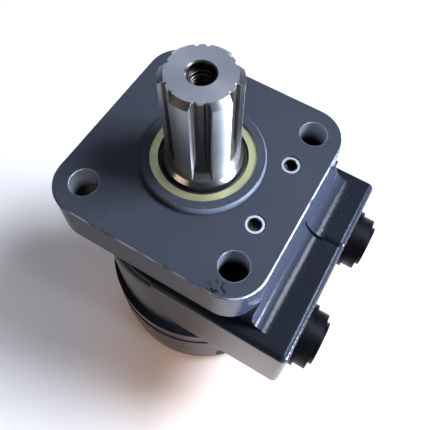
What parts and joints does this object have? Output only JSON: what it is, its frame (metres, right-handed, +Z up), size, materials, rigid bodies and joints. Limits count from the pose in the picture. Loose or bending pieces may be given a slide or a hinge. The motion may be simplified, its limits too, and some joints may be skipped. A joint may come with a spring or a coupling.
{
  "type": "orbital hydraulic motor",
  "caption": "Compact orbital hydraulic motor with square mounting flange, splined output shaft, side port block and round gear set housing.",
  "frame": {"origin": "centre of the flange's mounting face, on the shaft axis", "axes": "+Z along the shaft, out of the mounting face; +X towards the port face; the part stands on its cover screws with +Z up"},
  "size_m": [0.1092, 0.0945, 0.1787],
  "materials": {
    "painted_casting": "black gloss paint on iron casting, matt where machined",
    "painted_plate": "black gloss paint on ground steel",
    "shaft_steel": "hobbed and ground steel, bright",
    "gear_steel": "ground hardened steel",
    "bearing_steel": "polished bearing steel",
    "zinc_screw": "bright zinc plate",
    "black_screw": "black oxide steel",
    "yellow_case": "yellow passivated zinc plate",
    "seal_rubber": "black nitrile rubber, matt",
    "cage_brass": "pressed brass",
    "copper": "soft copper",
    "plug_plastic": "black moulded polyethylene"
  },
  "bodies": {
    "housing": {"housing": "painted_casting", "dust_seal_case": "yellow_case", "dust_seal_lip": "seal_rubber", "shaft_seal": "seal_rubber", "seal_support_ring": "gear_steel", "thrust_race_front": "bearing_steel", "check_plugs": "zinc_screw", "spacer_plate": "painted_plate", "gear_ring": "painted_plate", "end_cover": "painted_casting", "cover_screws": "black_screw", "screw_washers": "copper", "housing_o_ring": "seal_rubber", "ring_o_ring": "seal_rubber", "cover_o_ring": "seal_rubber", "drain_plug": "zinc_screw", "drain_washer": "seal_rubber"},
    "output_shaft": {"output_shaft": "shaft_steel", "thrust_race_rear": "bearing_steel"},
    "thrust_bearing": {"thrust_cage": "cage_brass", "thrust_needles": "bearing_steel"},
    "cardan_disc": {"cardan_disc": "gear_steel"},
    "rotor": {"rotor": "gear_steel"},
    "cardan_shaft": {"cardan_shaft": "gear_steel"},
    "roller_1": {"roller_1": "bearing_steel"},
    "roller_2": {"roller_2": "bearing_steel"},
    "roller_3": {"roller_3": "bearing_steel"},
    "roller_4": {"roller_4": "bearing_steel"},
    "roller_5": {"roller_5": "bearing_steel"},
    "roller_6": {"roller_6": "bearing_steel"},
    "roller_7": {"roller_7": "bearing_steel"},
    "check_ball_a": {"check_ball_a": "bearing_steel"},
    "check_ball_b": {"check_ball_b": "bearing_steel"},
    "port_plug_a": {"port_plug_a": "plug_plastic"},
    "port_plug_b": {"port_plug_b": "plug_plastic"}
  },
  "joints": [
    {"name": "shaft_spin", "type": "hinge", "parent": "housing", "child": "output_shaft", "pos_m": [0, 0, 0.01], "axis": [0, 0, 1], "continuous": true},
    {"name": "thrust_bearing_spin", "type": "hinge", "parent": "housing", "child": "thrust_bearing", "pos_m": [0, 0, -0.016], "axis": [0, 0, 1], "continuous": true},
    {"name": "orbit", "type": "hinge", "parent": "housing", "child": "cardan_disc", "pos_m": [0, 0, -0.111], "axis": [0, 0, 1], "continuous": true},
    {"name": "rotor_spin", "type": "hinge", "parent": "cardan_disc", "child": "rotor", "pos_m": [0.0024, 0, -0.101], "axis": [0, 0, 1], "continuous": true},
    {"name": "cardan_spin", "type": "hinge", "parent": "cardan_disc", "child": "cardan_shaft", "pos_m": [0, 0, -0.037], "axis": [-0.0375, 0, 0.9993], "continuous": true},
    {"name": "roller_1_spin", "type": "hinge", "parent": "housing", "child": "roller_1", "pos_m": [0.028, 0, -0.101], "axis": [0, 0, 1], "continuous": true},
    {"name": "roller_2_spin", "type": "hinge", "parent": "housing", "child": "roller_2", "pos_m": [0.01746, 0.02189, -0.101], "axis": [0, 0, 1], "continuous": true},
    {"name": "roller_3_spin", "type": "hinge", "parent": "housing", "child": "roller_3", "pos_m": [-0.00623, 0.0273, -0.101], "axis": [0, 0, 1], "continuous": true},
    {"name": "roller_4_spin", "type": "hinge", "parent": "housing", "child": "roller_4", "pos_m": [-0.02523, 0.01215, -0.101], "axis": [0, 0, 1], "continuous": true},
    {"name": "roller_5_spin", "type": "hinge", "parent": "housing", "child": "roller_5", "pos_m": [-0.02523, -0.01215, -0.101], "axis": [0, 0, 1], "continuous": true},
    {"name": "roller_6_spin", "type": "hinge", "parent": "housing", "child": "roller_6", "pos_m": [-0.00623, -0.0273, -0.101], "axis": [0, 0, 1], "continuous": true},
    {"name": "roller_7_spin", "type": "hinge", "parent": "housing", "child": "roller_7", "pos_m": [0.01746, -0.02189, -0.101], "axis": [0, 0, 1], "continuous": true},
    {"name": "check_ball_a_lift", "type": "slide", "parent": "housing", "child": "check_ball_a", "axis": [0, 0, 1], "range_m": [0, 0.0012]},
    {"name": "check_ball_b_lift", "type": "slide", "parent": "housing", "child": "check_ball_b", "axis": [0, 0, 1], "range_m": [0, 0.0012]},
    {"name": "port_plug_a_pull", "type": "slide", "parent": "housing", "child": "port_plug_a", "axis": [1, 0, 0], "range_m": [0, 0.02]},
    {"name": "port_plug_b_pull", "type": "slide", "parent": "housing", "child": "port_plug_b", "axis": [1, 0, 0], "range_m": [0, 0.02]}
  ],
  "couplings": [
    {"joint": "thrust_bearing_spin", "follows": "shaft_spin", "ratio": 0.5},
    {"joint": "orbit", "follows": "shaft_spin", "ratio": -6},
    {"joint": "rotor_spin", "follows": "shaft_spin", "ratio": 7},
    {"joint": "cardan_spin", "follows": "shaft_spin", "ratio": 7}
  ]
}
